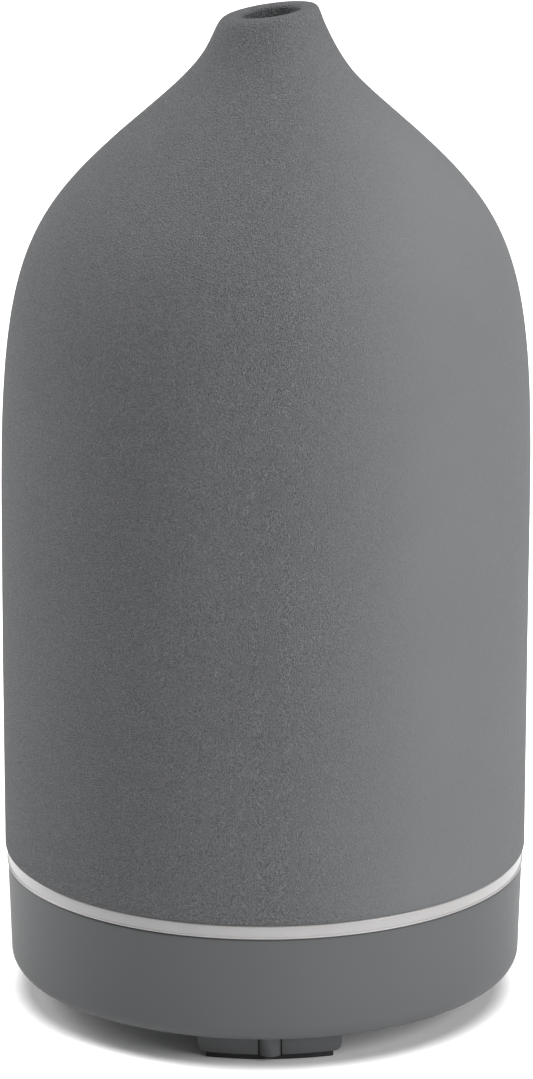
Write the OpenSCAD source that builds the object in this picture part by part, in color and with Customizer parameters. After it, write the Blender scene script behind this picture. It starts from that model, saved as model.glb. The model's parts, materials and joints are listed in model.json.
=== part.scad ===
// Ultrasonic essential oil diffuser: a ceramic cover over a water tank on a round electric base.
// The origin is on the table under the middle of the base. The front, with the buttons, faces -Y.

/* [Ceramic cover] */
// Radius of the cover's upright wall
cover_r = 45.3; // [44.9:0.1:45.4]
// Height above the table of the cover's lower edge
cover_z = 26; // [25.8:0.1:26.4]
// Thickness of the ceramic
cover_wall = 4; // [3.8:0.1:4.1]
// Radius of the mouth that the mist leaves by
mouth_r = 4.85; // [4.5:0.05:5.5]
// Height of the middle of the mouth above the cover's lower edge
mouth_h = 145.8; // [145:0.1:147]
// Slant of the mouth, high on the right
mouth_tilt = 8; // [0:1:10]

/* [Light ring] */
// Outer radius of the milky band
ring_r = 44.75; // [44.6:0.05:44.9]
// Height of the lip that centres the cover
ring_lip_h = 2.5; // [1.5:0.1:4]

/* [Base] */
// Outer radius of the base shell at its upper edge
base_top_r = 44.57; // [44.4:0.01:44.7]
// Outer radius of the base shell near the bottom
base_low_r = 44.08; // [43.8:0.01:44.4]
// Radius of the rounded bottom edge
base_edge_r = 2.9; // [2.7:0.1:3]
// Height of the base shell's upper edge
base_top_z = 23.7; // [23.5:0.1:23.8]
// Height of the feet, pads included
foot_h = 5; // [4.9:0.1:5.2]
// Thickness of the rubber pads
pad_h = 1; // [0.8:0.1:1]

/* [Tank and lid] */
// Outer radius of the water tank
tank_r = 37; // [36.8:0.1:37.1]
// Height of the tank's rim
tank_rim_z = 88; // [86:1:89]
// Thickness of the tank's wall
tank_wall = 2; // [1.6:0.1:2.2]
// Height of the top of the spout
spout_top_z = 158; // [154:1:160]
// Bore radius of the spout
spout_r = 4.2; // [4:0.1:4.4]

/* [Fan and duct] */
// Distance of the fan from the middle
fan_x = 23; // [22.8:0.1:23.2]
// Side of the square fan
fan_side = 25; // [24:0.5:25]
// Height of the fan
fan_h = 7; // [6.5:0.5:7]
// Bore radius of the chimney that stands in the tank
chimney_r = 5.8; // [5.4:0.1:6]

/* [Buttons] */
// Radius of the button faces
button_r = 38.6; // [38.4:0.1:38.7]
// Half width of the front foot block
block_half_w = 12.6; // [12.4:0.1:12.8]
// Half width of the upright between the buttons
upright_r = 1.9; // [1.7:0.1:2]
// How far a button travels
button_travel = 0.5; // [0.3:0.1:0.5]

/* [Hidden] */
$fn = 96;

SMALL_FN = 32;
EPS = 0.01;

// Colours
STONE = "#6e7073";
PLASTIC = "#6c6e71";
MILKY = "#f4f4f2";
WHITE_PP = "#eef0ef";
RUBBER = "#1e1e20";
SILICONE = "#d9dcda";
BOARD = "#1f6b3a";
STEEL = "#b9bcc0";
BRASS = "#c9a04e";
BLACK = "#26272a";

// Cover outline, heights above its lower edge
shoulder_low_h = 62;
shoulder_reach = 41;
slope_r = 25.1;
slope_h = 125;
slope_lean = 1.09;
slope_reach = 22;
neck_low_r = 19.6;
neck_low_h = 130;
neck_low_reach = 5.5;
neck_r = 9.1;
neck_h = 144.3;
neck_lean = 0.45;
neck_reach = 8;
mouth_spare_h = 149;
mouth_bore_low_h = 139;

// Base levels
plate_z = foot_h;
plate_h = 1.8;
plate_top_z = plate_z + plate_h;
plate_r = 40.4;
shell_in_r = 42;
ledge_r = 38.6;
flange_z = 20.1;
flange_h = 2;
flange_top_z = flange_z + flange_h;
flange_r = 41.8;
flange_ledge_r = 39.5;
ledge_h = 1.5;

// Screws that clamp the base, by angle from +X
screw_angles = [55, 125, 235, 305];
screw_circle_r = 34;
well_top_z = 9;
head_seat_z = 7.4;

// Fan
fan_z = plate_top_z;
fan_top_z = fan_z + fan_h;
fan_bore_r = 11.6;
fan_hole_pitch = 20.5;
blades = 7;
hub_r = 5.8;

// Chimney in the tank
chimney_wall = 1.4;
chimney_top_z = 80;

// Transducer in the tank's floor
disc_r = 8;
seal_r = 9.5;
seat_z = 18.2;
seat_top_z = 22.4;
clamp_h = 1.4;
clamp_ear_r = 12;
clamp_angles = [0, 120, 240];

// Boards
board_z = 9.3;
board_h = 1.6;
board_top_z = board_z + board_h;
board_x0 = -8.5;
board_x1 = 30;
board_half_y = 20;
button_board_z = plate_top_z;
button_board_h = 1.2;

// Button block under the front of the base
block_floor_h = 0.8;
block_in_y = -26.5;
block_out_r = 36;
block_wall = 1;
button_wall = 1.6;
button_gap = 0.3;
guide_y = -34.6;
guide_h = 1;
stem_x = 6.8;
stem_w = 2.8;
stem_z = 2.1;
stem_h = 2.2;
switch_front_y = -31;

// Inlet for the adapter's plug
jack_z = 14;
jack_half_w = 4.5;
jack_low_z = 9.6;
jack_top_z = 18.4;
jack_front_y = 41.6;
jack_back_y = 28;
jack_bore_r = 3;
jack_bore_y = 32;
pin_r = 1;
pin_root_r = 1.5;
pin_root_y = 30;
pin_tip_y = 40.6;
plug_hole_r = 4.6;

// Routes of the inner leads, each from its piece to its header on the control board
transducer_route = [[2, 0, 19.8], [2, 0, 17.5], [3, 2, 15], [5, 6, 13.4], [9, 9, 13], [10, 10.5, 13],
    [10, 12, 13]];
fan_route = [[-12.5, -12.5, 12.4], [-12.5, -14, 12.4], [-10.5, -15.8, 13.4], [-7, -16.2, 13.5],
    [-5.1, -15.4, 13], [-5.1, -14.1, 13]];
jack_route = [[0, 28, 12], [0, 26.5, 12], [-0.6, 24, 12.4], [-0.5, 21, 13], [-0.5, 18.8, 13]];
button_route = [[2, -25.5, 8], [2, -25.5, 10], [2.4, -24.6, 12.4], [3, -21.5, 13], [3, -18.8, 13]];
led_route = [[36.1, 13.1, 22.1], [36.1, 13.1, 19.5], [34.5, 12.8, 17.2], [31, 11, 15.4],
    [28.2, 8, 13.4], [28, 5.8, 13], [28, 4.4, 13]];
lead_r = 0.75;

// ---------- Helpers ----------

// Point at t from 0 to 1 on the curve that leaves a towards b and reaches d from c
function curve_point(a, b, c, d, t) =
    pow(1 - t, 3) * a + 3 * pow(1 - t, 2) * t * b + 3 * (1 - t) * t * t * c + pow(t, 3) * d;

function curve(a, b, c, d, steps) = [for (i = [0 : steps]) curve_point(a, b, c, d, i / steps)];

function unit(v) = v / norm(v);

// Direction that leans inward by lean for each 1 of height
function leaning(lean) = unit([-lean, 1]);

// Points on an arc in the plane, from angle a0 to a1
function arc(centre, r, a0, a1, steps) =
    [for (i = [0 : steps])
        let (a = a0 + (a1 - a0) * i / steps)
        centre + r * [cos(a), sin(a)]];

// Each point of a line moved to its left by d
function moved_left(points, d) =
    [for (i = [0 : len(points) - 1])
        let (
            before = points[max(i - 1, 0)],
            after = points[min(i + 1, len(points) - 1)],
            along = unit(after - before)
        )
        points[i] + d * [-along[1], along[0]]];

// Smooth line through all the points, with steps stretches between neighbours
function smooth(points, steps) =
    let (last = len(points) - 1)
    concat(
        [for (i = [0 : last - 1], s = [0 : steps - 1])
            let (
                t = s / steps,
                a = points[max(i - 1, 0)],
                b = points[i],
                c = points[i + 1],
                d = points[min(i + 2, last)]
            )
            0.5 * (2 * b + (c - a) * t + (2 * a - 5 * b + 4 * c - d) * t * t
                + (3 * b - a - 3 * c + d) * t * t * t)],
        [points[last]]
    );

// Tube of radius r along a smooth line through the points
module lead(points, r = lead_r, sides = 8, steps = 3) {
    line = smooth(points, steps);
    last = len(line) - 1;
    ring_points = [
        for (i = [0 : last])
            let (
                along = i == 0 ? unit(points[1] - points[0])
                    : i == last ? unit(points[len(points) - 1] - points[len(points) - 2])
                    : unit(line[i + 1] - line[i - 1]),
                across = unit(cross(along, [0.83, 0.35, 0.43])),
                up = cross(along, across)
            )
            for (k = [0 : sides - 1])
                line[i] + r * (across * cos(360 * k / sides) + up * sin(360 * k / sides))
    ];
    side_faces = [
        for (i = [0 : last - 1], k = [0 : sides - 1])
            let (
                a = i * sides + k,
                b = i * sides + (k + 1) % sides
            )
            each [[a, a + sides, b + sides], [a, b + sides, b]]
    ];
    end_faces = [
        [for (k = [0 : sides - 1]) k],
        [for (k = [sides - 1 : -1 : 0]) last * sides + k]
    ];
    polyhedron(ring_points, concat(side_faces, end_faces));
}

// Flat ring from z0 to z1
module ring(r_in, r_out, z0, z1) {
    translate([0, 0, z0])
        difference() {
            cylinder(r = r_out, h = z1 - z0);
            translate([0, 0, -1])
                cylinder(r = r_in, h = z1 - z0 + 2);
        }
}

// Part of a flat ring, half_a degrees to each side of the direction a
module sector(r_in, r_out, a, half_a, z0, z1) {
    rotate([0, 0, a - half_a])
        translate([0, 0, z0])
            rotate_extrude(angle = 2 * half_a)
                translate([r_in, 0])
                    square([r_out - r_in, z1 - z0]);
}

// Box from one corner to the opposite one
module block(low, high) {
    translate(low)
        cube(high - low);
}

module rod(r, z0, z1, fn = SMALL_FN) {
    translate([0, 0, z0])
        cylinder(r = r, h = z1 - z0, $fn = fn);
}

// Puts children at a distance from the middle in each of the directions
module around(angles, r) {
    for (a = angles)
        rotate([0, 0, a])
            translate([r, 0, 0])
                children();
}

// Screw with its head below, its shank up to top_z
module screw(head_r, head_z, seat_z, shank_r, top_z) {
    difference() {
        union() {
            rod(head_r, head_z, seat_z);
            rod(shank_r, seat_z - EPS, top_z);
        }
        for (turn = [0, 90])
            rotate([0, 0, turn])
                block([-head_r * 0.62, -0.25, head_z - 1], [head_r * 0.62, 0.25, head_z + 0.7]);
    }
}

// ---------- Cover, lid and tank ----------

// Outside of the cover from its lower edge to above the mouth
function cover_outside() =
    let (
        wall_low = [cover_r, 0],
        shoulder_low = [cover_r, shoulder_low_h],
        slope_high = [slope_r, slope_h],
        neck_low = [neck_low_r, neck_low_h],
        neck_high = [neck_r, neck_h]
    )
    concat(
        [wall_low],
        curve(shoulder_low, shoulder_low + [0, shoulder_reach],
            slope_high - slope_reach * leaning(slope_lean), slope_high, 16),
        curve(neck_low, neck_low + neck_low_reach * leaning(slope_lean),
            neck_high - neck_reach * leaning(neck_lean), neck_high, 8),
        [[neck_r - 0.9, mouth_spare_h]]
    );

module ceramic_cover() {
    outside = cover_outside();
    inside = [
        for (p = moved_left(outside, cover_wall))
            if (p[1] < mouth_bore_low_h && p[0] > mouth_r + 0.3) p
    ];
    bore = [[mouth_r, mouth_bore_low_h + 1], [mouth_r, mouth_spare_h]];
    back = concat(inside, bore);
    outline = concat(outside, [for (i = [len(back) - 1 : -1 : 0]) back[i]]);
    color(STONE)
        translate([0, 0, cover_z])
            difference() {
                rotate_extrude()
                    polygon(outline);
                translate([0, 0, mouth_h])
                    rotate([0, -mouth_tilt, 0])
                        block([-20, -20, 0], [20, 20, 20]);
            }
}

module tank_lid() {
    wall = 1.8;
    dome_low = [tank_r + 0.4, tank_rim_z + 3];
    dome_high = [spout_r + wall + 0.4, 122];
    outside = concat(
        [[tank_r + 0.4, tank_rim_z]],
        curve(dome_low, dome_low + [-2, 12], dome_high - [-1.5, 20], dome_high, 14),
        [[spout_r + 1.4, spout_top_z]]
    );
    dome_in_low = dome_low + [-wall - 1, -1];
    dome_in_high = [spout_r, 122];
    inside = concat(
        [[tank_r - tank_wall - 1.4, tank_rim_z - 4], [tank_r - tank_wall - 1.4, tank_rim_z + 1]],
        curve(dome_in_low, dome_in_low + [-2.5, 10], dome_in_high - [-1, 19], dome_in_high, 14),
        [[spout_r, spout_top_z]]
    );
    skirt_out_r = tank_r - tank_wall - 0.3;
    outline = concat(
        [[skirt_out_r, tank_rim_z - 4], [skirt_out_r, tank_rim_z]],
        outside,
        [for (i = [len(inside) - 1 : -1 : 0]) inside[i]]
    );
    color(WHITE_PP)
        rotate_extrude()
            polygon(outline);
}

module splash_guard() {
    plate_low_z = 99;
    plate_high_z = 100.2;
    sleeve_low_z = 106;
    color(WHITE_PP) {
        ring(spout_r - 1, spout_r - 0.05, sleeve_low_z, 125);
        rod(6.4, plate_low_z, plate_high_z);
        around([30, 150, 270], spout_r - 0.6)
            rod(0.5, plate_high_z - EPS, sleeve_low_z + EPS, 24);
    }
}

module water_tank() {
    in_r = tank_r - tank_wall;
    floor_edge_z = 27;
    floor_low_z = 24.6;
    floor_h = 2.2;
    hole_r = 6.8;
    seat_r = seal_r + 0.1;
    seat_out_r = 10.6;
    ear_r = 2.3;
    color(WHITE_PP)
        difference() {
            union() {
                rotate_extrude()
                    polygon([
                        [hole_r - 2, floor_low_z - 1.8], [seat_out_r - 2, floor_low_z - 1.8],
                        [tank_r - 1.5, floor_edge_z - floor_h], [tank_r - 1.5, flange_z],
                        [flange_r, flange_z], [flange_r, flange_top_z], [tank_r, flange_top_z],
                        [tank_r, tank_rim_z], [in_r, tank_rim_z], [in_r, floor_edge_z],
                        [hole_r + 1.5, floor_low_z], [hole_r - 2, floor_low_z]
                    ]);
                // Seat of the transducer, with the ears that its clamp is screwed to
                difference() {
                    union() {
                        rod(seat_out_r, seat_z, floor_low_z - 1, 64);
                        around(clamp_angles, clamp_ear_r)
                            rod(ear_r, seat_z + 0.4, floor_low_z - 0.8);
                    }
                    rod(seat_r, seat_z - 1, seat_top_z, 64);
                }
                // Collar that holds the chimney
                translate([-fan_x, 0, 0])
                    rod(chimney_r + chimney_wall + 1.4, floor_low_z + 0.1, 28.2, 64);
                // Posts that take the clamping screws
                around(screw_angles, screw_circle_r)
                    rod(2.9, well_top_z, floor_edge_z - 0.8);
                // Ridge that marks the highest water level
                ring(in_r - 0.5, in_r + 0.5, 70, 70.8);
            }
            // Hole over the disc
            rod(hole_r, seat_z - 1, floor_low_z + 1, 64);
            translate([-fan_x, 0, 0])
                rod(chimney_r + chimney_wall, flange_z - 1, 30, 64);
            around(screw_angles, screw_circle_r)
                rod(1.25, well_top_z - 1, 18);
            around(clamp_angles, clamp_ear_r)
                rod(0.95, seat_z - 1, 22);
            ring(40.2, 41.2, flange_z - 1, flange_z + 1);
            rotate([0, 0, 20])
                translate([38.4, 0, 0])
                    rod(1, flange_z - 1, flange_top_z + 1);
        }
}

// Tube that takes the fan's air through the water to above its surface
module tank_chimney() {
    color(WHITE_PP)
        translate([-fan_x, 0, 0])
            ring(chimney_r, chimney_r + chimney_wall, flange_z, chimney_top_z);
}

module duct_cap() {
    hood_z = chimney_top_z + 4;
    color(WHITE_PP)
        translate([-fan_x, 0, 0]) {
            rod(chimney_r + 2.2, hood_z, hood_z + 1.2, 64);
            intersection() {
                for (turn = [0, 90])
                    rotate([0, 0, turn])
                        block([-chimney_r, -0.6, chimney_top_z - 4], [chimney_r, 0.6, hood_z + EPS]);
                rod(chimney_r - 0.1, chimney_top_z - 5, hood_z + 1, 64);
            }
        }
}

module tank_gasket() {
    color(SILICONE)
        ring(40.25, 41.15, flange_z, flange_z + 0.95);
}

// ---------- Light ring ----------

module light_ring() {
    in_r = tank_r + 0.4;
    channel_in_r = 38.2;
    channel_out_r = 41.5;
    lip_in_r = 39.4;
    lip_out_r = cover_r - cover_wall - 0.5;
    color(MILKY)
        difference() {
            rotate_extrude()
                polygon([
                    [in_r, flange_top_z], [shell_in_r - 0.1, flange_top_z],
                    [shell_in_r - 0.1, base_top_z], [ring_r, base_top_z],
                    [ring_r, cover_z - 0.3], [ring_r - 0.3, cover_z],
                    [lip_out_r, cover_z], [lip_out_r, cover_z + ring_lip_h - 0.4],
                    [lip_out_r - 0.4, cover_z + ring_lip_h], [lip_in_r, cover_z + ring_lip_h],
                    [lip_in_r, cover_z], [in_r, cover_z]
                ]);
            ring(channel_in_r, channel_out_r, flange_top_z - 1, flange_top_z + 2.2);
        }
}

led_angles = [for (i = [0 : 7]) 45 * i];

module led_board() {
    color(WHITE_PP)
        ring(38.5, 41.2, flange_top_z, flange_top_z + 0.8);
}

module leds() {
    color("#f6e7a6")
        around(led_angles, 39.85)
            block([-0.7, -1.2, flange_top_z + 0.8], [0.7, 1.2, flange_top_z + 1.7]);
}

// ---------- Base ----------

module base_shell() {
    edge_centre = [base_low_r - base_edge_r, foot_h + base_edge_r];
    ledge_z = plate_top_z;
    color(PLASTIC)
        difference() {
            rotate_extrude()
                polygon(concat(
                    [[plate_r + 0.15, foot_h]],
                    arc(edge_centre, base_edge_r, -90, 0, 8),
                    [
                        [base_top_r, base_top_z - 0.3], [base_top_r - 0.3, base_top_z],
                        [shell_in_r, base_top_z], [shell_in_r, flange_z],
                        [flange_ledge_r, flange_z], [flange_ledge_r, flange_z - ledge_h],
                        [shell_in_r, flange_z - ledge_h - 1], [shell_in_r, ledge_z + ledge_h],
                        [ledge_r, ledge_z + ledge_h], [ledge_r, ledge_z],
                        [plate_r + 0.15, ledge_z]
                    ]
                ));
            // Hole that the adapter's plug goes through, at the rear
            translate([0, 50, jack_z])
                rotate([90, 0, 0])
                    cylinder(r = plug_hole_r, h = 12);
            // Notch in the ledges for the inlet's own housing
            block([-5.6, 36, ledge_z - 1], [5.6, shell_in_r - 0.05, flange_z - 0.6]);
        }
}

// Plan of the foot block, its sides and back moved in by inset
module block_plan(inset) {
    half_w = block_half_w - 0.6 - inset;
    intersection() {
        circle(r = block_out_r);
        translate([-half_w, -block_out_r - 1])
            square([2 * half_w, block_out_r + 1 + block_in_y - inset]);
    }
}

module bottom_cover() {
    color(PLASTIC)
        difference() {
            union() {
                rod(plate_r, plate_z, plate_top_z, 96);
                // Wells for the clamping screws
                around(screw_angles, screw_circle_r)
                    rod(4.2, plate_z + EPS, well_top_z);
                // Front foot block
                translate([0, 0, pad_h])
                    linear_extrude(plate_z - pad_h + EPS)
                        block_plan(0);
                // Upright between the buttons, with the web that holds it
                translate([0, -37.7, 0])
                    rod(upright_r, pad_h, plate_z + EPS, 48);
                block([-1.2, -37.7, pad_h], [1.2, -35.5, plate_z + EPS]);
                // Rear feet
                for (a = [30, 150])
                    sector(29.5, 37.5, a, 9, pad_h, plate_z + EPS);
                // Posts under the control board
                for (x = [board_x0 + 2.5, board_x1 - 2.5], y = [-1, 1])
                    translate([x, y * (board_half_y - 2.5), 0])
                        rod(2.1, plate_z + EPS, board_z);
                // Cradle under the inlet
                block([-5, 28.5, plate_z + EPS], [5, 38.2, jack_low_z]);
            }
            // Room for the switches behind the guide wall, open to the inside of the base
            intersection() {
                translate([0, 0, pad_h + block_floor_h])
                    linear_extrude(plate_top_z)
                        block_plan(block_wall);
                block([-20, guide_y + guide_h, 0], [20, 0, 20]);
            }
            // Windows in the guide wall for the stems, and the open front before it
            for (side = [-1, 1])
                translate([side * stem_x, 0, 0])
                    block([-stem_w / 2 - button_gap, -41, pad_h + block_floor_h],
                        [stem_w / 2 + button_gap, guide_y + guide_h + 1, stem_z + stem_h + button_gap]);
            block([-20, -41, pad_h + block_floor_h], [-upright_r - 0.4, guide_y, plate_z]);
            block([upright_r + 0.4, -41, pad_h + block_floor_h], [20, guide_y, plate_z]);
            // Wells
            around(screw_angles, screw_circle_r) {
                rod(3.1, plate_z - 1, head_seat_z);
                rod(1.5, plate_z - 1, well_top_z + 1);
            }
            // Air grille under the fan
            intersection() {
                translate([-fan_x, 0, 0])
                    rod(fan_bore_r - 0.6, plate_z - 1, plate_top_z + 1, 64);
                for (i = [-3 : 3])
                    block([-fan_x - 20, i * 3.2 - 0.8, plate_z - 1],
                        [-fan_x + 20, i * 3.2 + 0.8, plate_top_z + 1]);
            }
            // Pilot holes for the board screws and the fan screws
            for (x = [board_x0 + 2.5, board_x1 - 2.5], y = [-1, 1])
                translate([x, y * (board_half_y - 2.5), 0])
                    rod(0.85, plate_z + 1, board_z + 1);
            for (x = [-11.5, 11.5])
                translate([x, -25.7, 0])
                    rod(0.85, plate_z + 0.6, plate_top_z + 1);
            for (turn = [45, 225])
                translate([-fan_x, 0, 0])
                    rotate([0, 0, turn])
                        translate([fan_hole_pitch / sqrt(2), 0, 0])
                            rod(0.85, plate_z + 0.5, plate_top_z + 1);
        }
}

module foot_pads() {
    color(RUBBER) {
        sector(28, 38, 270, 16.5, 0, pad_h);
        for (a = [30, 150])
            sector(30.5, 36.5, a, 7.6, 0, pad_h);
    }
}

module bottom_screws() {
    color(STEEL)
        around(screw_angles, screw_circle_r)
            screw(2.7, head_seat_z - 1.7, head_seat_z, 1.2, 17);
}

// ---------- Fan ----------

module fan_frame() {
    half = fan_side / 2;
    color(BLACK)
        translate([-fan_x, 0, 0])
            difference() {
                block([-half, -half, fan_z], [half, half, fan_top_z]);
                rod(fan_bore_r, fan_z + 1, fan_top_z + 1, 64);
                difference() {
                    rod(fan_bore_r, fan_z - 1, fan_z + 1.5, 64);
                    rod(5.2, fan_z - 2, fan_z + 2, 48);
                    for (a = [90, 210, 330])
                        rotate([0, 0, a])
                            block([0, -1, fan_z - 2], [fan_bore_r + 1, 1, fan_z + 2]);
                }
                for (turn = [45 : 90 : 315])
                    rotate([0, 0, turn])
                        translate([fan_hole_pitch / sqrt(2), 0, 0])
                            rod(1.3, fan_z - 1, fan_top_z + 1);
            }
}

module fan_impeller() {
    low_z = fan_z + 1.5;
    high_z = fan_top_z - 0.6;
    blade_lean = 38;
    color(BLACK)
        translate([-fan_x, 0, 0]) {
            difference() {
                rod(hub_r, low_z, high_z, 64);
                rod(hub_r - 0.8, low_z - 1, high_z - 0.8, 64);
            }
            rod(0.75, fan_z + 1.2, high_z - 0.7, SMALL_FN);
            intersection() {
                ring(hub_r - 0.4, fan_bore_r - 0.5, low_z + 0.2, high_z - 0.2);
                for (i = [0 : blades - 1])
                    rotate([0, 0, 360 * i / blades])
                        translate([0, 0, (low_z + high_z) / 2])
                            rotate([blade_lean, 0, 0])
                                block([hub_r - 1, -0.35, -8], [fan_bore_r + 1, 0.35, 8]);
            }
        }
}

module fan_magnet() {
    color("#4a4a4d")
        translate([-fan_x, 0, 0])
            ring(hub_r - 1.6, hub_r - 0.82, fan_z + 2, fan_top_z - 1.7);
}

module fan_stator() {
    color(BRASS)
        translate([-fan_x, 0, 0])
            difference() {
                rod(3.7, fan_z + 1, fan_top_z - 2, 48);
                rod(1.65, fan_z, fan_top_z, 48);
                for (turn = [0 : 90 : 270])
                    rotate([0, 0, turn + 45])
                        block([2.5, -0.35, fan_z + 1.6], [5, 0.35, fan_top_z]);
            }
}

module fan_bearing() {
    color(BRASS)
        translate([-fan_x, 0, 0])
            ring(0.8, 1.6, fan_z + 1, fan_top_z - 1.8);
}

module fan_screws() {
    color(STEEL)
        translate([-fan_x, 0, 0])
            for (turn = [45, 225])
                rotate([0, 0, turn])
                    translate([fan_hole_pitch / sqrt(2), 0, 0])
                        difference() {
                            union() {
                                rod(0.8, fan_z - 1.2, fan_top_z + EPS);
                                rod(1.6, fan_top_z, fan_top_z + 1);
                            }
                            block([-1.1, -0.2, fan_top_z + 0.5], [1.1, 0.2, fan_top_z + 2]);
                        }
}

module air_duct() {
    half = fan_side / 2;
    low_z = fan_top_z;
    rim_h = 1;
    wall = 1.2;
    high_z = flange_z - 0.05;
    color(BLACK)
        translate([-fan_x, 0, 0])
            difference() {
                rotate_extrude()
                    polygon([
                        [fan_bore_r, low_z], [fan_bore_r + 0.9, low_z],
                        [fan_bore_r + 0.9, low_z + rim_h], [chimney_r + wall, high_z],
                        [chimney_r, high_z], [fan_bore_r - 0.3, low_z + rim_h]
                    ]);
                for (turn = [45, 225])
                    rotate([0, 0, turn])
                        translate([fan_hole_pitch / sqrt(2), 0, 0])
                            rod(2.4, low_z - 1, low_z + 1.3);
            }
}

// ---------- Transducer ----------

module transducer_disc() {
    color("#d8d2c2")
        rod(disc_r, 19.8, 20.7, 64);
}

module transducer_seal() {
    color(SILICONE)
        difference() {
            rod(seal_r, seat_z + 0.1, seat_top_z - 0.05, 64);
            rod(6.9, seat_z - 1, seat_top_z + 1, 64);
            rod(disc_r + 0.05, 19.75, 20.75, 64);
        }
}

module transducer_clamp() {
    low_z = seat_z - clamp_h;
    color(STEEL)
        difference() {
            union() {
                rod(10.4, low_z, seat_z - EPS, 64);
                around(clamp_angles, clamp_ear_r)
                    rod(2.3, low_z, seat_z - EPS);
            }
            rod(6.6, low_z - 1, seat_z + 1, 64);
            around(clamp_angles, clamp_ear_r)
                rod(1, low_z - 1, seat_z + 1);
        }
}

module transducer_screws() {
    color(STEEL)
        around(clamp_angles, clamp_ear_r)
            screw(1.8, seat_z - clamp_h - 1.3, seat_z - clamp_h - EPS, 0.9, 21.5);
}

// ---------- Boards ----------

module control_board() {
    color(BOARD)
        difference() {
            block([board_x0, -board_half_y, board_z], [board_x1, board_half_y, board_top_z]);
            for (x = [board_x0 + 2.5, board_x1 - 2.5], y = [-1, 1])
                translate([x, y * (board_half_y - 2.5), 0])
                    rod(1.1, board_z - 1, board_top_z + 1);
        }
}

// Small screw with its head on top of a board
module board_screw(low_z, top_z) {
    difference() {
        union() {
            rod(0.8, low_z, top_z + EPS);
            rod(1.8, top_z, top_z + 1.2);
        }
        for (turn = [0, 90])
            rotate([0, 0, turn])
                block([-1.1, -0.2, top_z + 0.6], [1.1, 0.2, top_z + 2]);
    }
}

module board_screws() {
    color(STEEL) {
        for (x = [board_x0 + 2.5, board_x1 - 2.5], y = [-1, 1])
            translate([x, y * (board_half_y - 2.5), 0])
                board_screw(plate_z + 1.5, board_top_z);
        for (x = [-11.5, 11.5])
            translate([x, -25.7, 0])
                board_screw(plate_z + 0.8, button_board_z + button_board_h);
    }
}

module controller_chip() {
    legs = 8;
    pitch = 1.27;
    color(BLACK)
        translate([3, -5, board_top_z]) {
            block([-5, -2, 0.15], [5, 2, 1.75]);
            for (i = [0 : legs - 1], side = [-1, 1])
                translate([(i - (legs - 1) / 2) * pitch, side * 2.4, 0])
                    block([-0.2, -0.6, 0], [0.2, 0.6, 0.5]);
        }
}

inductor_places = [[23, -11], [14, -15]];
capacitor_places = [[26.5, -4], [19.5, -4]];

module inductors() {
    color("#3b3b3e")
        for (p = inductor_places)
            translate([p[0], p[1], board_top_z])
                rotate_extrude()
                    polygon([[0, 0], [3.6, 0], [3.6, 1], [2.6, 1.5], [2.6, 3.5], [3.6, 4], [3.6, 4.8],
                        [0, 4.8]]);
}

module capacitors() {
    color("#2a3a63")
        for (p = capacitor_places)
            translate([p[0], p[1], board_top_z])
                rotate_extrude()
                    polygon([[0, 0], [2.9, 0], [3.1, 0.3], [3.1, 0.9], [2.9, 1.3], [3.1, 1.7],
                        [3.1, 7.2], [2.8, 7.6], [2.3, 7.5], [0, 7.5]]);
}

module power_transistor() {
    color(BLACK)
        translate([21, 9, board_top_z]) {
            block([-3.3, -3, 0.05], [3.3, 3, 2.3]);
            block([-2.7, 2.9, 0], [2.7, 4.4, 0.5]);
            for (x = [-2.3, 2.3])
                block([x - 0.4, -5.2, 0], [x + 0.4, -2.9, 0.5]);
        }
}

module heat_sink() {
    fins = 5;
    color("#c4c7ca")
        translate([21, 9, board_top_z + 2.3]) {
            block([-6, -4, 0], [6, 4, 1.3]);
            for (i = [0 : fins - 1])
                translate([(i - (fins - 1) / 2) * 2.75, 0, 0])
                    block([-0.5, -4, 1.3 - EPS], [0.5, 4, 5]);
        }
}

// Places of the lead headers on the control board, with the side that each lead leaves by
header_places = [[10, 14.2], [-5.1, -11.5], [-0.5, 16.6], [3, -16.6], [28, 2]];
header_size = [[2.6, 2.2], [2.2, 2.6], [2.6, 2.2], [2.6, 2.2], [1.8, 2.4]];

module lead_headers() {
    color(MILKY)
        for (i = [0 : len(header_places) - 1])
            translate([header_places[i][0], header_places[i][1], board_top_z])
                block([-header_size[i][0], -header_size[i][1], 0],
                    [header_size[i][0], header_size[i][1], 4]);
}

module button_board() {
    color(BOARD)
        difference() {
            block([-13, -34.2, button_board_z], [13, -24, button_board_z + button_board_h]);
            for (x = [-11.5, 11.5])
                translate([x, -25.7, 0])
                    rod(1, button_board_z - 1, button_board_z + 2);
        }
}

module button_switches() {
    color("#3a3a3c")
        for (side = [-1, 1])
            translate([side * stem_x, 0, 0])
                difference() {
                    block([-3, switch_front_y, pad_h + block_floor_h + 0.1], [3, -28.4, button_board_z]);
                    translate([0, switch_front_y - 1, stem_z + stem_h / 2])
                        rotate([-90, 0, 0])
                            cylinder(r = 1.1, h = 3, $fn = SMALL_FN);
                }
}

// ---------- Buttons ----------

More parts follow.
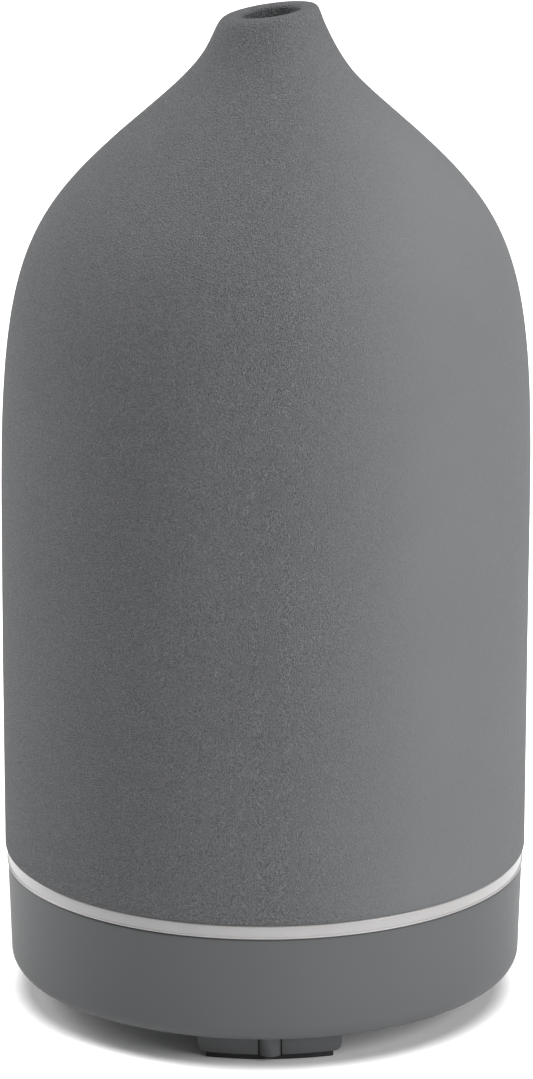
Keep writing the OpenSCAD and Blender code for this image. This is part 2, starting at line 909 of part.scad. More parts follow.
// The button on one side of the upright: side is -1 for the left and 1 for the right
module button(side) {
    low_z = pad_h + button_gap;
    high_z = plate_z - button_gap;
    corner_r = 1.2;
    first_x = upright_r + button_gap;
    color(PLASTIC)
        mirror([side < 0 ? 1 : 0, 0, 0]) {
            intersection() {
                ring(button_r - button_wall, button_r, low_z - 1, high_z + 1);
                translate([0, -30, 0])
                    rotate([90, 0, 0])
                        linear_extrude(12)
                            union() {
                                translate([first_x, low_z + corner_r])
                                    square([block_half_w - first_x, high_z - low_z - corner_r]);
                                translate([first_x, low_z])
                                    square([block_half_w - first_x - corner_r, corner_r + EPS]);
                                translate([block_half_w - corner_r, low_z + corner_r])
                                    circle(r = corner_r, $fn = SMALL_FN);
                            }
            }
            // Stem through the guide wall, with the heel that keeps the button in
            translate([stem_x, 0, 0]) {
                block([-stem_w / 2, -37.4, stem_z], [stem_w / 2, -32.4, stem_z + stem_h]);
                block([-stem_w / 2 - 0.8, guide_y + guide_h + 0.1, stem_z],
                    [stem_w / 2 + 0.8, -32.4, stem_z + stem_h]);
            }
        }
}

module light_button() {
    button(-1);
}

module mist_button() {
    button(1);
}

module plunger(side) {
    color(MILKY)
        translate([side * stem_x, -32.4, stem_z + stem_h / 2])
            rotate([-90, 0, 0])
                cylinder(r = 1, h = 2.6, $fn = SMALL_FN);
}

module light_plunger() {
    plunger(-1);
}

module mist_plunger() {
    plunger(1);
}

// ---------- Inlet ----------

module dc_jack() {
    color(BLACK)
        difference() {
            block([-jack_half_w, jack_back_y, jack_low_z], [jack_half_w, jack_front_y, jack_top_z]);
            translate([0, jack_bore_y, jack_z])
                rotate([-90, 0, 0])
                    cylinder(r = jack_bore_r, h = 20);
            translate([0, pin_root_y, jack_z])
                rotate([-90, 0, 0])
                    cylinder(r = pin_root_r, h = 20, $fn = SMALL_FN);
        }
}

module dc_pin() {
    root_h = jack_bore_y - pin_root_y;
    color(STEEL)
        translate([0, pin_root_y, jack_z])
            rotate([-90, 0, 0]) {
                cylinder(r = pin_root_r, h = root_h, $fn = SMALL_FN);
                translate([0, 0, root_h - EPS])
                    cylinder(r = pin_r, h = pin_tip_y - jack_bore_y + EPS, $fn = SMALL_FN);
            }
}

// ---------- Inner leads ----------

module transducer_leads() {
    color("#a33a34")
        lead(transducer_route);
}

module fan_leads() {
    color("#2f3033")
        lead(fan_route);
}

module jack_leads() {
    color("#a33a34")
        lead(jack_route);
}

module button_leads() {
    color("#d7d7d5")
        lead(button_route);
}

module led_leads() {
    color("#d7d7d5")
        lead(led_route);
}

ceramic_cover();
tank_lid();
splash_guard();
water_tank();
tank_chimney();
duct_cap();
tank_gasket();
light_ring();
led_board();
leds();
base_shell();
bottom_cover();
foot_pads();
bottom_screws();
fan_frame();
fan_impeller();
fan_magnet();
fan_stator();
fan_bearing();
fan_screws();
air_duct();
transducer_disc();
transducer_seal();
transducer_clamp();
transducer_screws();
control_board();
board_screws();
controller_chip();
inductors();
capacitors();
power_transistor();
heat_sink();
lead_headers();
button_board();
button_switches();
mist_button();
light_button();
mist_plunger();
light_plunger();
dc_jack();
dc_pin();
transducer_leads();
fan_leads();
jack_leads();
button_leads();
led_leads();
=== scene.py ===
"""Looks of the essential oil diffuser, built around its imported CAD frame."""

import json
import math

import bmesh
import bpy
from mathutils import Matrix, Vector, noise


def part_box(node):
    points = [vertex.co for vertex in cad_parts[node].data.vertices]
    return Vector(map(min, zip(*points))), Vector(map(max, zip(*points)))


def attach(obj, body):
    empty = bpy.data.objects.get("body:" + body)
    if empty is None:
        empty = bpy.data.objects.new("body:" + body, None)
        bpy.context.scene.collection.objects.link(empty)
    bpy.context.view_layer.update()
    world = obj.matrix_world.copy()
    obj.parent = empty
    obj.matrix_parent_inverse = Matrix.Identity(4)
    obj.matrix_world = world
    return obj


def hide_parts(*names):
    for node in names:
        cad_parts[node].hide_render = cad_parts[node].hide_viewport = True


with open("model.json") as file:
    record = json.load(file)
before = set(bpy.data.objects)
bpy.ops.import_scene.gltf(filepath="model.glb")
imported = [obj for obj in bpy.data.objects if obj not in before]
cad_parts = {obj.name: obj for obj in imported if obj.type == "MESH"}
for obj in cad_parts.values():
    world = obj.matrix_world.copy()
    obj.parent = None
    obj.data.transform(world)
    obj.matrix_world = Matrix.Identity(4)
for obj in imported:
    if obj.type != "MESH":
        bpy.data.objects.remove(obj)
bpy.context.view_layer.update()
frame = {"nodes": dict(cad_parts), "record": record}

MM = 0.001
SMOOTH_ANGLE = math.radians(34)
EDGE_ANGLE = math.radians(32)
FLAT_ANGLE = math.radians(0.3)


# ---------- Places read from the frame ----------

def low(node):
    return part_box(node)[0] / MM


def high(node):
    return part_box(node)[1] / MM


COVER_Z = low("ceramic_cover").z
COVER_R = high("ceramic_cover").x
BASE_Z = low("base_shell").z
BASE_TOP_Z = high("base_shell").z
BASE_R = high("base_shell").x
LIP_TOP_Z = high("light_ring").z
RING_R = high("light_ring").x
RING_LOW_Z = low("light_ring").z
LID_LOW_Z = low("tank_lid").z
LID_R = high("tank_lid").x
SPOUT_TOP_Z = high("tank_lid").z
JACK_Z = (low("dc_jack").z + high("dc_jack").z) / 2


# ---------- Outlines, as lists of (radius, height) in mm ----------

def bezier(a, b, c, d, steps):
    points = []
    for i in range(steps + 1):
        t = i / steps
        s = 1 - t
        weights = (s ** 3, 3 * s * s * t, 3 * s * t * t, t ** 3)
        corners = (a, b, c, d)
        points.append(tuple(sum(w * p[k] for w, p in zip(weights, corners)) for k in (0, 1)))
    return points


def arc(centre, r, start, end, steps):
    angles = [math.radians(start + (end - start) * i / steps) for i in range(steps + 1)]
    return [(centre[0] + r * math.cos(a), centre[1] + r * math.sin(a)) for a in angles]


def leaning(lean, length):
    """Step of a given length that goes inward by lean for each 1 of height."""
    size = math.hypot(lean, 1)
    return (-lean * length / size, length / size)


def plus(a, b):
    return (a[0] + b[0], a[1] + b[1])


def minus(a, b):
    return (a[0] - b[0], a[1] - b[1])


def joined(*lines):
    """One line out of several, with no point twice in a row."""
    points = []
    for line in lines:
        for p in line:
            if not points or math.dist(points[-1], p) > 1e-6:
                points.append(p)
    return points


def respaced(points, step):
    """Points a given step apart along a line, its two ends included."""
    reach = [0.0]
    for a, b in zip(points, points[1:]):
        reach.append(reach[-1] + math.dist(a, b))
    count = max(1, round(reach[-1] / step))
    result = []
    k = 0
    for i in range(count + 1):
        want = reach[-1] * i / count
        while k < len(points) - 2 and reach[k + 1] < want:
            k += 1
        t = (want - reach[k]) / (reach[k + 1] - reach[k])
        result.append(tuple(points[k][j] + t * (points[k + 1][j] - points[k][j]) for j in (0, 1)))
    return result


def moved_in(points, depth):
    """A line shifted to its left by depth."""
    result = []
    for i, p in enumerate(points):
        a = points[max(i - 1, 0)]
        b = points[min(i + 1, len(points) - 1)]
        size = math.dist(a, b)
        along = ((b[0] - a[0]) / size, (b[1] - a[1]) / size)
        result.append((p[0] - depth * along[1], p[1] + depth * along[0]))
    return result


# ---------- Meshes ----------

def finished(mesh):
    mesh.shade_smooth()
    mesh.set_sharp_from_angle(angle=SMOOTH_ANGLE)


def from_bmesh(name, bm):
    bmesh.ops.recalc_face_normals(bm, faces=bm.faces)
    mesh = bpy.data.meshes.new(name)
    bm.to_mesh(mesh)
    bm.free()
    finished(mesh)
    piece = bpy.data.objects.new(name, mesh)
    bpy.context.collection.objects.link(piece)
    return piece


def turned(name, outline, turns, shape=None):
    """Ring of revolution around Z from a closed outline; shape moves each point, in mm."""
    bm = bmesh.new()
    rings = []
    for i in range(turns):
        a = 2 * math.pi * i / turns
        ring = []
        for k, (r, z) in enumerate(outline):
            point = Vector((r * math.cos(a), r * math.sin(a), z))
            if shape:
                point = shape(point, k)
            ring.append(bm.verts.new(point * MM))
        rings.append(ring)
    count = len(outline)
    for i in range(turns):
        here, there = rings[i], rings[(i + 1) % turns]
        for k in range(count):
            n = (k + 1) % count
            bm.faces.new((here[k], here[n], there[n], there[k]))
    return from_bmesh(name, bm)


def with_modifiers(piece):
    """Replaces a piece's mesh with what its modifiers make of it."""
    bpy.context.view_layer.update()
    graph = bpy.context.evaluated_depsgraph_get()
    mesh = bpy.data.meshes.new_from_object(piece.evaluated_get(graph))
    piece.modifiers.clear()
    piece.data = mesh
    finished(mesh)
    return piece


def cut_by(piece, cutter):
    """Takes the cutter's space out of a piece."""
    change = piece.modifiers.new("cut", "BOOLEAN")
    change.operation = "DIFFERENCE"
    change.solver = "EXACT"
    change.object = cutter
    with_modifiers(piece)
    bpy.data.objects.remove(cutter)
    return piece


def softened(node, name, width):
    """Copy of a CAD node with its sharp edges rounded off by a width in mm."""
    bm = bmesh.new()
    bm.from_mesh(frame["nodes"][node].data)
    bmesh.ops.remove_doubles(bm, verts=bm.verts, dist=1e-7)
    bmesh.ops.dissolve_limit(bm, angle_limit=FLAT_ANGLE, verts=bm.verts, edges=bm.edges)
    plain = bpy.data.meshes.new(name)
    points = [v.co.copy() for v in bm.verts]
    bm.verts.index_update()
    faces = [[v.index for v in f.verts] for f in bm.faces]
    bm.free()
    plain.from_pydata(points, [], faces)
    piece = bpy.data.objects.new(name, plain)
    bpy.context.collection.objects.link(piece)
    change = piece.modifiers.new("edges", "BEVEL")
    change.width = width * MM
    change.segments = 2
    change.limit_method = "ANGLE"
    change.angle_limit = EDGE_ANGLE
    change.use_clamp_overlap = True
    return with_modifiers(piece)


# ---------- Materials ----------

class Look:
    """A node material around one Principled shader."""

    def __init__(self, name, color, roughness):
        self.material = bpy.data.materials.new(name)
        self.material.use_nodes = True
        self.material.diffuse_color = (*color, 1)
        tree = self.material.node_tree
        self.nodes = tree.nodes
        self.links = tree.links
        self.shader = self.nodes["Principled BSDF"]
        self.color = color
        self.shader.inputs["Base Color"].default_value = (*color, 1)
        self.shader.inputs["Roughness"].default_value = roughness
        self.place = self.nodes.new("ShaderNodeTexCoord").outputs["Object"]
        self.normal = None

    def set(self, **values):
        for name, value in values.items():
            self.shader.inputs[name.replace("_", " ")].default_value = value

    def stretched(self, x, y, z):
        """Coordinates squeezed along the axes, so that a pattern comes out drawn along the others."""
        node = self.nodes.new("ShaderNodeMapping")
        node.inputs["Scale"].default_value = (x, y, z)
        self.links.new(self.place, node.inputs["Vector"])
        return node.outputs["Vector"]

    def clouds(self, scale, detail=2.0, roughness=0.5, place=None):
        node = self.nodes.new("ShaderNodeTexNoise")
        node.inputs["Scale"].default_value = scale
        node.inputs["Detail"].default_value = detail
        node.inputs["Roughness"].default_value = roughness
        self.links.new(place or self.place, node.inputs["Vector"])
        return node.outputs["Fac"]

    def cells(self, scale):
        node = self.nodes.new("ShaderNodeTexVoronoi")
        node.feature = "SMOOTH_F1"
        node.inputs["Scale"].default_value = scale
        node.inputs["Smoothness"].default_value = 0.6
        self.links.new(self.place, node.inputs["Vector"])
        return node.outputs["Distance"]

    def spread(self, value, start, end, to_start, to_end):
        """Value taken from one range to another, held inside it."""
        node = self.nodes.new("ShaderNodeMapRange")
        self.links.new(value, node.inputs["Value"])
        limits = {"From Min": start, "From Max": end, "To Min": to_start, "To Max": to_end}
        for name, limit in limits.items():
            node.inputs[name].default_value = limit
        return node.outputs["Result"]

    def math(self, operation, a, b):
        node = self.nodes.new("ShaderNodeMath")
        node.operation = operation
        for socket, value in zip(node.inputs, (a, b)):
            if isinstance(value, (int, float)):
                socket.default_value = value
            else:
                self.links.new(value, socket)
        return node.outputs["Value"]

    def tinted(self, amount, dark, light):
        """Base colour that goes from dark times to light times its own value with amount."""
        node = self.nodes.new("ShaderNodeMix")
        node.data_type = "RGBA"
        self.links.new(amount, node.inputs[0])
        node.inputs[6].default_value = (*[c * dark for c in self.color], 1)
        node.inputs[7].default_value = (*[c * light for c in self.color], 1)
        self.links.new(node.outputs[2], self.shader.inputs["Base Color"])

    def rough(self, amount, smoothest, roughest, start=0.3, end=0.7):
        self.links.new(self.spread(amount, start, end, smoothest, roughest),
                       self.shader.inputs["Roughness"])

    def bump(self, height, depth, strength=1.0):
        """Relief of a depth in mm, on top of any relief before it."""
        node = self.nodes.new("ShaderNodeBump")
        node.inputs["Distance"].default_value = depth * MM
        node.inputs["Strength"].default_value = strength
        self.links.new(height, node.inputs["Height"])
        if self.normal:
            self.links.new(self.normal, node.inputs["Normal"])
        self.normal = node.outputs["Normal"]
        self.links.new(self.normal, self.shader.inputs["Normal"])


def stone_look():
    """Unglazed ceramic: a fine pebbly skin with small pits. Fine flecks of painted shade and light
    stand in for the grain's shading on the left, where the light grazes the cover, and they and the
    relief fade out towards the right.
    """
    look = Look("stone_ceramic", (0.0990, 0.1012, 0.1042), 0.82)
    look.set(Specular_IOR_Level=0.12)
    broad = look.clouds(38, 3)
    pebbles = look.cells(1450)
    grain = look.clouds(4700, 1, 0.4)
    pits = look.clouds(1150, 1)
    sides = look.nodes.new("ShaderNodeSeparateXYZ")
    look.links.new(look.place, sides.inputs["Vector"])
    # Mask of the side where the light grazes the cover: 1 on the left, falling to 0.1 towards the
    # right; it stands for light, not for wear.
    raking_side = look.spread(sides.outputs["X"], 0.0, 0.026, 1, 0.1)
    # Painted shade and light: colour flecks that follow the grain, standing in for its shading on the
    # grazed side.
    grain_shade = look.math("MULTIPLY", look.math("SUBTRACT", grain, 0.5), raking_side)
    # Random broad tone, plus the painted grain shade.
    tone_and_grain_shade = look.math("ADD", look.math("MULTIPLY", broad, 0.08), grain_shade)
    look.tinted(look.spread(tone_and_grain_shade, -0.19, 0.31, 0, 1), 0.6, 1.4)
    look.rough(pebbles, 0.76, 0.9, 0.1, 0.6)
    look.bump(look.clouds(430, 2), 0.06, 0.6)
    look.bump(look.spread(pits, 0.66, 0.76, 1, 0), 0.06, 0.7)
    skin = look.math("ADD", look.math("MULTIPLY", pebbles, -0.12), grain)
    # The fine relief is made weaker towards the right with the same lighting mask.
    look.bump(look.math("MULTIPLY", skin, raking_side), 0.64)
    return look.material


def grey_plastic_look():
    """Moulded plastic in the ceramic's own grey, with a spark-eroded skin."""
    look = Look("grey_plastic", (0.0690, 0.0706, 0.0727), 0.56)
    look.set(Specular_IOR_Level=0.15)
    broad = look.clouds(30, 3)
    skin = look.clouds(3800, 2, 0.5)
    look.tinted(look.spread(broad, 0.35, 0.65, 0, 1), 0.97, 1.03)
    look.rough(skin, 0.5, 0.62)
    look.bump(look.clouds(260, 2), 0.02, 0.5)
    look.bump(skin, 0.018, 0.7)
    return look.material


def plastic_look(name, color, roughness, sheen_range=0.06, depth=0.012, scale=900.0, level=0.5):
    """Smooth moulded plastic with faint flow marks and a little unevenness in its gloss."""
    look = Look(name, color, roughness)
    look.set(Specular_IOR_Level=level)
    flow = look.clouds(55, 3, 0.5, look.stretched(1, 1, 0.4))
    skin = look.clouds(scale, 2)
    look.tinted(look.spread(flow, 0.35, 0.65, 0, 1), 0.96, 1.04)
    look.rough(flow, roughness - sheen_range, roughness + sheen_range)
    look.bump(skin, depth, 0.6)
    return look


def milky_look():
    """Frosted band that spreads the light of the lamps inside."""
    look = plastic_look("milky_ring", (0.255, 0.250, 0.249), 0.34, 0.04, 0.01, 1800, 0.6)
    look.set(Subsurface_Weight=0.2, Subsurface_Scale=0.002, Subsurface_Radius=(1, 1, 1))
    return look.material


def white_plastic_look():
    """Milky polypropylene of the tank and lid, which lets some light through."""
    look = plastic_look("white_plastic", (0.29, 0.296, 0.292), 0.36, 0.05, 0.014, 700)
    look.set(Subsurface_Weight=0.3, Subsurface_Scale=0.003, Subsurface_Radius=(1, 1, 1))
    return look.material


def rubber_look(name, color, roughness):
    look = Look(name, color, roughness)
    look.set(Specular_IOR_Level=0.3)
    dust = look.clouds(140, 4, 0.6)
    skin = look.clouds(2600, 3)
    look.tinted(look.spread(dust, 0.4, 0.7, 0, 1), 0.85, 1.25)
    look.rough(skin, roughness - 0.08, roughness + 0.08)
    look.bump(skin, 0.02, 0.8)
    return look.material


def metal_look(name, color, roughness, along=(1, 1, 0.08)):
    """Metal with fine drawn lines, dulled in patches."""
    look = Look(name, color, roughness)
    look.set(Metallic=1.0)
    lines = look.clouds(2500, 2, 0.5, look.stretched(*along))
    patches = look.clouds(180, 3)
    look.tinted(look.spread(patches, 0.35, 0.65, 0, 1), 0.88, 1.06)
    look.rough(patches, roughness - 0.08, roughness + 0.1)
    look.bump(lines, 0.006, 0.5)
    return look.material


def board_look(name, color):
    """Solder mask over glass cloth, whose weave shows faintly."""
    look = Look(name, color, 0.38)
    weave = look.nodes.new("ShaderNodeTexWave")
    weave.inputs["Scale"].default_value = 420
    weave.inputs["Distortion"].default_value = 0.6
    look.links.new(look.place, weave.inputs["Vector"])
    patches = look.clouds(90, 3)
    look.tinted(look.spread(patches, 0.35, 0.65, 0, 1), 0.86, 1.14)
    look.rough(patches, 0.32, 0.46)
    look.bump(weave.outputs["Fac"], 0.008, 0.5)
    return look.material


def winding_look():
    """Turns of enamelled copper wire."""
    look = Look("copper_winding", (0.52, 0.22, 0.09), 0.34)
    look.set(Metallic=0.85)
    turns = look.nodes.new("ShaderNodeTexWave")
    turns.bands_direction = "Z"
    turns.inputs["Scale"].default_value = 900
    turns.inputs["Distortion"].default_value = 0.4
    look.links.new(look.place, turns.inputs["Vector"])
    look.tinted(turns.outputs["Fac"], 0.6, 1.1)
    look.rough(look.clouds(600, 2), 0.28, 0.42)
    look.bump(turns.outputs["Fac"], 0.08)
    return look.material


LOOKS = {
    "stone_ceramic": stone_look(),
    "grey_plastic": grey_plastic_look(),
    "milky_ring": milky_look(),
    "white_plastic": white_plastic_look(),
    "black_plastic": plastic_look("black_plastic", (0.022, 0.022, 0.024), 0.46).material,
    "black_rubber": rubber_look("black_rubber", (0.013, 0.013, 0.014), 0.78),
    "silicone": rubber_look("silicone", (0.34, 0.345, 0.34), 0.52),
    "steel": metal_look("steel", (0.56, 0.57, 0.59), 0.3),
    "brass": metal_look("brass", (0.62, 0.44, 0.17), 0.34),
    "copper_winding": winding_look(),
    "magnet": metal_look("magnet", (0.09, 0.09, 0.095), 0.52, (1, 1, 1)),
    "circuit_board": board_look("circuit_board", (0.018, 0.11, 0.045)),
    "white_board": board_look("white_board", (0.4, 0.4, 0.385)),
    "lamp": plastic_look("lamp", (0.86, 0.72, 0.33), 0.32).material,
    "aluminium": metal_look("aluminium", (0.62, 0.63, 0.65), 0.38, (1, 0.06, 1)),
    "component_black": plastic_look("component_black", (0.017, 0.017, 0.019), 0.58, 0.08, 0.02,
                                    2400).material,
    "capacitor_sleeve": plastic_look("capacitor_sleeve", (0.025, 0.045, 0.12), 0.26).material,
    "piezo": plastic_look("piezo", (0.55, 0.51, 0.42), 0.5, 0.08, 0.02, 2000).material,
    "red_lead": plastic_look("red_lead", (0.33, 0.03, 0.024), 0.4).material,
    "black_lead": plastic_look("black_lead", (0.024, 0.024, 0.025), 0.4).material,
    "white_lead": plastic_look("white_lead", (0.38, 0.38, 0.37), 0.4).material,
}
SLOT_OF = {row["node"]: row["material_slot"] for row in frame["record"]["subparts"]}
BODY_OF = {}
for body_name, members in frame["record"]["behaviour"]["bodies"].items():
    for member in members:
        BODY_OF[member] = body_name


def dress(piece, material):
    piece.data.materials.clear()
    piece.data.materials.append(material)


def stands_for(piece, node):
    """The piece takes the place of a CAD node: its body, its material slot and its look."""
    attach(piece, BODY_OF[node])
    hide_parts(node)
    dress(piece, LOOKS[SLOT_OF[node]])
    return piece


# ---------- Ceramic cover ----------

COVER_WALL = 4.0
MOUTH_R = 4.85
MOUTH_H = 145.8
MOUTH_SLANT = math.tan(math.radians(8.1))
SLANT_LOW_H = 134.5
SLANT_HIGH_H = 144.0
NECK_R = 9.2
NECK_SLOPE = 0.42
COVER_LEAN = 1.1
LEAN_POWER = 2.4
RELIEF = 0.022


def cover_outline():
    """The cover's outline, heights above its lower edge, with the count of points on its outside."""
    wall_low = (COVER_R - 0.28, 0.0)
    shoulder_low = (COVER_R - 0.22, 62.0)
    slope_high = (25.1, 125.0)
    neck_low = (19.45, 130.0)
    neck_high = (NECK_R, 143.2)
    edge_r = 0.9
    rim_r = 7.0
    dish_r = 6.2
    lip_h = MOUTH_H - 1.0
    throat_h = 140.4
    wall = bezier((wall_low[0], edge_r), (wall_low[0] + 0.04, 20), (wall_low[0] + 0.09, 40),
                  shoulder_low, 40)
    shoulder = bezier(shoulder_low, plus(shoulder_low, (0, 41)),
                      minus(slope_high, leaning(1.09, 22)), slope_high, 90)
    neck = bezier(neck_low, plus(neck_low, leaning(1.09, 5.5)),
                  minus(neck_high, leaning(NECK_SLOPE, 7.4)), neck_high, 40)
    skin = joined(wall, shoulder, neck)
    outside = respaced(skin, 0.84)
    rim = bezier(neck_high, plus(neck_high, leaning(NECK_SLOPE, 1.9)),
                 (rim_r + 1.2, MOUTH_H), (rim_r, MOUTH_H), 9)
    dish = joined([(rim_r, MOUTH_H), (dish_r, MOUTH_H - 0.02)],
                  bezier((dish_r - 0.5, MOUTH_H - 0.06), (dish_r - 1.0, MOUTH_H - 0.12),
                         (MOUTH_R, MOUTH_H - 0.45), (MOUTH_R, lip_h), 8))
    low_edge = arc((wall_low[0] - edge_r, edge_r), edge_r, -90, 0, 6)[:-1]
    inner = [p for p in moved_in(skin, COVER_WALL)
             if p[1] < throat_h - 1.4 and p[0] > MOUTH_R + 0.3]
    bore = bezier((MOUTH_R, lip_h), (MOUTH_R - 0.3, MOUTH_H - 3), (MOUTH_R - 0.9, throat_h),
                  inner[-1], 8)
    inside = respaced(list(reversed([(p[0], max(p[1], 1.0)) for p in inner])), 2.8)
    foot_in = (inside[-1][0], 0.6)
    low_inner = [(foot_in[0] + 0.2, 0.15), (foot_in[0] + 0.7, 0.0)]
    outline = joined(low_edge, outside, rim, dish, bore, inside, [foot_in], low_inner)
    return outline, len(low_edge) + len(outside)


def cover_shape(point, k):
    """Slants the mouth, leans the cover a little and gives its outside a hand-finished skin."""
    h = point.z
    ramp = min(max((h - SLANT_LOW_H) / (SLANT_HIGH_H - SLANT_LOW_H), 0), 1)
    ramp = ramp * ramp * (3 - 2 * ramp)
    if k < COVER_SKIN_ROWS:
        swell = noise.noise(point * 0.16) * 0.6 + noise.noise(point * 0.42) * 0.4
        out = Vector((point.x, point.y, 0)).normalized()
        point = point + out * (swell * RELIEF)
    rise = MOUTH_SLANT * point.x * ramp
    r = math.hypot(point.x, point.y)
    share = min(max((r - MOUTH_R) / (NECK_R - MOUTH_R), 0), 1)
    inward = 1 - NECK_SLOPE * rise * share / r
    lean = COVER_LEAN * (max(h, 0) / MOUTH_H) ** LEAN_POWER
    return Vector((point.x * inward + lean, point.y * inward, COVER_Z + h + rise))


COVER_OUTLINE, COVER_SKIN_ROWS = cover_outline()
cover = turned("cover_skin", COVER_OUTLINE, 352, cover_shape)
stands_for(cover, "ceramic_cover")


# ---------- Light ring ----------

def ring_outline():
    """Milky band: its face, the top that the cover stands on and the lip that centres the cover."""
    in_r = LID_R
    lip_in_r = 39.4
    lip_out_r = COVER_R - COVER_WALL - 0.55
    skirt_r = 41.9
    face_r = RING_R
    return joined(
        [(in_r + 0.3, RING_LOW_Z), (skirt_r - 0.3, RING_LOW_Z)],
        [(skirt_r, RING_LOW_Z + 0.3), (skirt_r, BASE_TOP_Z + 0.05)],
        [(face_r - 0.1, BASE_TOP_Z + 0.05)],
        arc((face_r - 0.15, BASE_TOP_Z + 0.2), 0.15, -90, 0, 4),
        [(face_r - 0.03, BASE_TOP_Z + 0.28), (face_r - 0.2, BASE_TOP_Z + 0.4)],
        [(face_r - 0.3, COVER_Z - 0.3)],
        arc((face_r - 0.55, COVER_Z - 0.25), 0.25, 0, 90, 4),
        [(lip_out_r + 0.2, COVER_Z)],
        arc((lip_out_r - 0.5, LIP_TOP_Z - 0.5), 0.5, 0, 90, 5),
        arc((lip_in_r + 0.4, LIP_TOP_Z - 0.4), 0.4, 90, 180, 5),
        [(lip_in_r, COVER_Z + 0.2), (lip_in_r - 0.2, COVER_Z), (in_r + 0.3, COVER_Z)],
        [(in_r + 0.05, COVER_Z - 0.3), (in_r + 0.05, RING_LOW_Z + 0.3)],
    )


ring = turned("ring_band", ring_outline(), 288)
stands_for(ring, "light_ring")


# ---------- Base ----------

BASE_LOW_R = 44.08
BASE_EDGE_R = 2.9
BASE_INNER_R = 42.0
PLUG_HOLE_R = 4.6


def base_outline():
    """Base shell with its rounded bottom edge and the ledges inside."""
    opening_r = 40.6
    flange_in_r = 39.5
    ledge_in_r = 38.6
    lip_r = 0.45
    edge = (BASE_LOW_R - BASE_EDGE_R, BASE_Z + BASE_EDGE_R)
    ledge_z = BASE_Z + 1.8
    flange_z = BASE_TOP_Z - 3.6
    return joined(
        [(opening_r, BASE_Z + 0.3), (opening_r + 0.25, BASE_Z + 0.04)],
        arc(edge, BASE_EDGE_R, -90, 0, 14),
        [(BASE_LOW_R + (BASE_R - BASE_LOW_R) * t, edge[1] + (BASE_TOP_Z - lip_r - edge[1]) * t)
         for t in (0.2, 0.4, 0.6, 0.8, 0.98)],
        arc((BASE_R - lip_r, BASE_TOP_Z - lip_r), lip_r, 0, 90, 6),
        [(BASE_INNER_R + 0.2, BASE_TOP_Z), (BASE_INNER_R, BASE_TOP_Z - 0.2)],
        [(BASE_INNER_R, flange_z), (flange_in_r, flange_z), (flange_in_r, flange_z - 1.5)],
        [(BASE_INNER_R, flange_z - 2.5), (BASE_INNER_R, ledge_z + 1.5)],
        [(ledge_in_r, ledge_z + 1.5), (ledge_in_r, ledge_z), (opening_r, ledge_z)],
    )


def plug_cutter():
    """Hole for the adapter's plug with a softly flared mouth, turned to point to the rear."""
    wall_y = 44.3
    start_y = 36
    end_y = 50
    axis_r = 0.001
    outline = [(axis_r, start_y), (PLUG_HOLE_R, start_y), (PLUG_HOLE_R, wall_y - 1.0)]
    flare = bezier((PLUG_HOLE_R, wall_y - 1.0), (PLUG_HOLE_R, wall_y - 0.4),
                   (PLUG_HOLE_R + 0.3, wall_y), (PLUG_HOLE_R + 0.9, wall_y + 0.1), 6)
    end = [(PLUG_HOLE_R + 0.9, end_y), (axis_r, end_y)]
    cutter = turned("plug_cutter", joined(outline, flare, end), 64)
    turn = Matrix.Translation((0, 0, JACK_Z * MM)) @ Matrix.Rotation(math.radians(-90), 4, "X")
    cutter.data.transform(turn)
    return cutter


base = turned("base_body", base_outline(), 288)
cut_by(base, plug_cutter())
stands_for(base, "base_shell")


# ---------- Tank lid ----------

def lid_outline():
    """Lid with its skirt, the bead around it, the dome and the mist spout."""
    wall = 1.8
    spout_low_z = 122
    bore_r = 4.2
    skirt_r = LID_R - 2.7
    seat_z = LID_LOW_Z + 4
    dome_low = (LID_R, seat_z + 3)
    dome_high = (bore_r + wall + 0.4, spout_low_z)
    bead = arc((LID_R - 0.6, seat_z + 0.6), 0.6, -90, 0, 4)
    dome = bezier(dome_low, plus(dome_low, (-2, 12)), plus(dome_high, (1.5, -20)), dome_high, 40)
    lip = arc((bore_r + 0.9, SPOUT_TOP_Z - 0.5), 0.5, 0, 90, 4)
    inner_low = plus(dome_low, (-wall - 1, -1))
    under = bezier(inner_low, plus(inner_low, (-2.5, 10)),
                   (bore_r + 1, spout_low_z - 19), (bore_r, spout_low_z), 40)
    return joined(
        [(skirt_r - 1.1, LID_LOW_Z + 0.3), (skirt_r - 0.8, LID_LOW_Z)],
        [(skirt_r - 0.3, LID_LOW_Z), (skirt_r, LID_LOW_Z + 0.5), (skirt_r, seat_z)],
        bead, dome, [(bore_r + 1.45, SPOUT_TOP_Z - 1)], lip,
        [(bore_r + 0.3, SPOUT_TOP_Z), (bore_r, SPOUT_TOP_Z - 0.4)],
        list(reversed(under)), [(skirt_r - 1.1, seat_z + 1)],
    )


lid = turned("lid_dome", lid_outline(), 192)
stands_for(lid, "tank_lid")


# ---------- Underside, pads and buttons ----------

for node_name, piece_name, edge_width in (
    ("bottom_cover", "under_cover", 0.22),
    ("foot_pads", "rubber_pads", 0.2),
    ("mist_button", "mist_key_cap", 0.28),
    ("light_button", "light_key_cap", 0.28),
    ("dc_jack", "inlet_housing", 0.2),
):
    stands_for(softened(node_name, piece_name, edge_width), node_name)


CAP_MIDDLE_X = 4
CAP_INNER_STEP = -0.2
CAP_OUTER_STEP = -0.45
CAP_LOW_Z = 2
CAP_LOW_STEP = -0.2


def fitted(piece, side):
    """Draws a button cap close to the upright and the pad beside it; side is 1 for the right one."""
    for v in piece.data.vertices:
        reach = side * v.co.x / MM
        v.co.x += side * MM * (CAP_INNER_STEP if reach < CAP_MIDDLE_X else CAP_OUTER_STEP)
        if v.co.z / MM < CAP_LOW_Z:
            v.co.z += CAP_LOW_STEP * MM


for cap_name, cap_side in (("mist_key_cap", 1), ("light_key_cap", -1)):
    fitted(bpy.data.objects[cap_name], cap_side)


# ---------- CAD nodes that stay ----------

for node_name, node_object in frame["nodes"].items():
    dress(node_object, LOOKS[SLOT_OF[node_name]])


# ---------- Floor, light and camera ----------

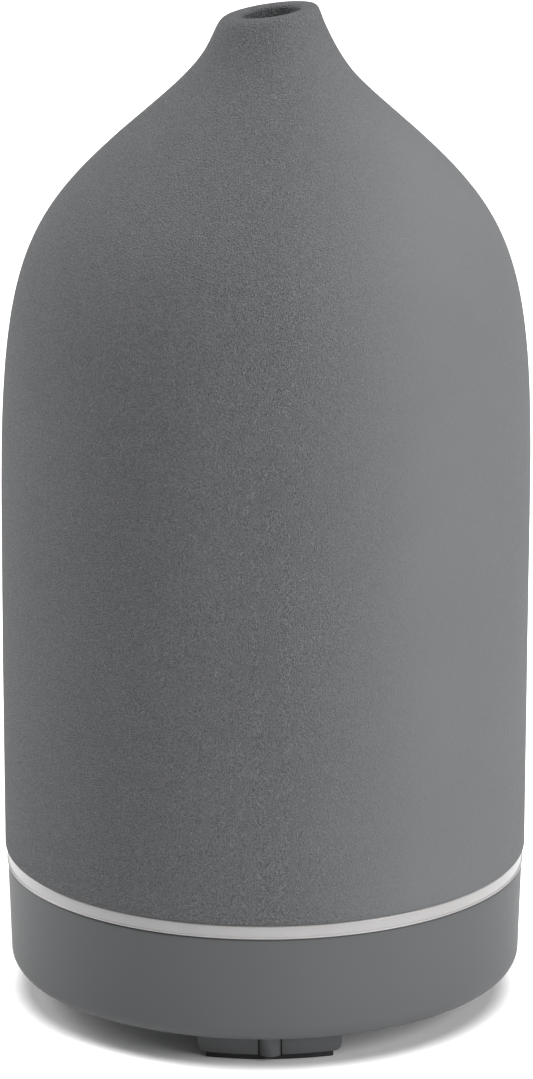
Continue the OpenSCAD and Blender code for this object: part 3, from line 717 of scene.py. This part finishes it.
FLOOR_HALF = 4.0
FLOOR_COLOR = (0.93, 0.93, 0.93)
WORLD_LIGHT = 0.06
OVERHEAD_POWER = 5.3
OVERHEAD_WIDTH = math.radians(58)
OVERHEAD_AZIMUTH = 70
OVERHEAD_ELEVATION = 86
MIDDLE = Vector((0, 0, 0.085))


def floor():
    mesh = bpy.data.meshes.new("floor")
    corners = [(-FLOOR_HALF, -FLOOR_HALF), (FLOOR_HALF, -FLOOR_HALF),
               (FLOOR_HALF, FLOOR_HALF), (-FLOOR_HALF, FLOOR_HALF)]
    mesh.from_pydata([(x, y, 0) for x, y in corners], [], [(0, 1, 2, 3)])
    plane = bpy.data.objects.new("floor", mesh)
    bpy.context.collection.objects.link(plane)
    look = Look("floor", FLOOR_COLOR, 0.9)
    look.set(Specular_IOR_Level=0.1)
    dress(plane, look.material)


def direction(azimuth, elevation):
    """From the object towards a place: azimuth 0 is the front, 90 the right."""
    a, e = math.radians(azimuth), math.radians(elevation)
    return Vector((math.sin(a) * math.cos(e), -math.cos(a) * math.cos(e), math.sin(e)))


def aim(thing, place, way):
    """Puts a lamp or a camera at a place, looking against the way given."""
    thing.rotation_euler = (-way).to_track_quat("-Z", "Y").to_euler()
    thing.location = place


def soft_light(name, azimuth, elevation, distance, width, height, power):
    """Rectangular lamp, in metres and watts, that points at the middle of the object."""
    data = bpy.data.lights.new(name, "AREA")
    data.shape = "RECTANGLE"
    data.size = width
    data.size_y = height
    data.energy = power
    lamp = bpy.data.objects.new(name, data)
    way = direction(azimuth, elevation)
    aim(lamp, MIDDLE + way * distance, way)
    bpy.context.collection.objects.link(lamp)


def overhead_light():
    """Wide even light from above, which leaves only a soft shadow close to the base."""
    data = bpy.data.lights.new("overhead", "SUN")
    data.energy = OVERHEAD_POWER
    data.angle = OVERHEAD_WIDTH
    lamp = bpy.data.objects.new("overhead", data)
    aim(lamp, Vector((0, 0, 1)), direction(OVERHEAD_AZIMUTH, OVERHEAD_ELEVATION))
    bpy.context.collection.objects.link(lamp)


def camera():
    """Long lens a little above the object's middle, almost straight before it."""
    azimuth = -1.3
    elevation = 15.509
    distance = 0.95
    target_h = 54.3
    data = bpy.data.cameras.new("camera")
    data.lens = 185.3
    data.sensor_width = 36
    data.shift_x = 0.0015
    data.clip_start = 0.05
    data.clip_end = 30
    thing = bpy.data.objects.new("camera", data)
    way = direction(azimuth, elevation)
    aim(thing, Vector((0, 0, (COVER_Z + target_h) * MM)) + way * distance, way)
    bpy.context.collection.objects.link(thing)
    bpy.context.scene.camera = thing


def studio():
    """Faint white light from all around."""
    world = bpy.data.worlds.new("studio")
    world.use_nodes = True
    sky = world.node_tree.nodes["Background"]
    sky.inputs["Color"].default_value = (1, 1, 1, 1)
    sky.inputs["Strength"].default_value = WORLD_LIGHT
    bpy.context.scene.world = world


floor()
soft_light("key", azimuth=55, elevation=15, distance=1.5, width=0.7, height=1.3, power=27.5)
soft_light("fill", azimuth=-121, elevation=20, distance=1.4, width=0.5, height=1.2, power=20.0)
overhead_light()
studio()
bpy.context.scene.view_settings.view_transform = "Standard"
camera()
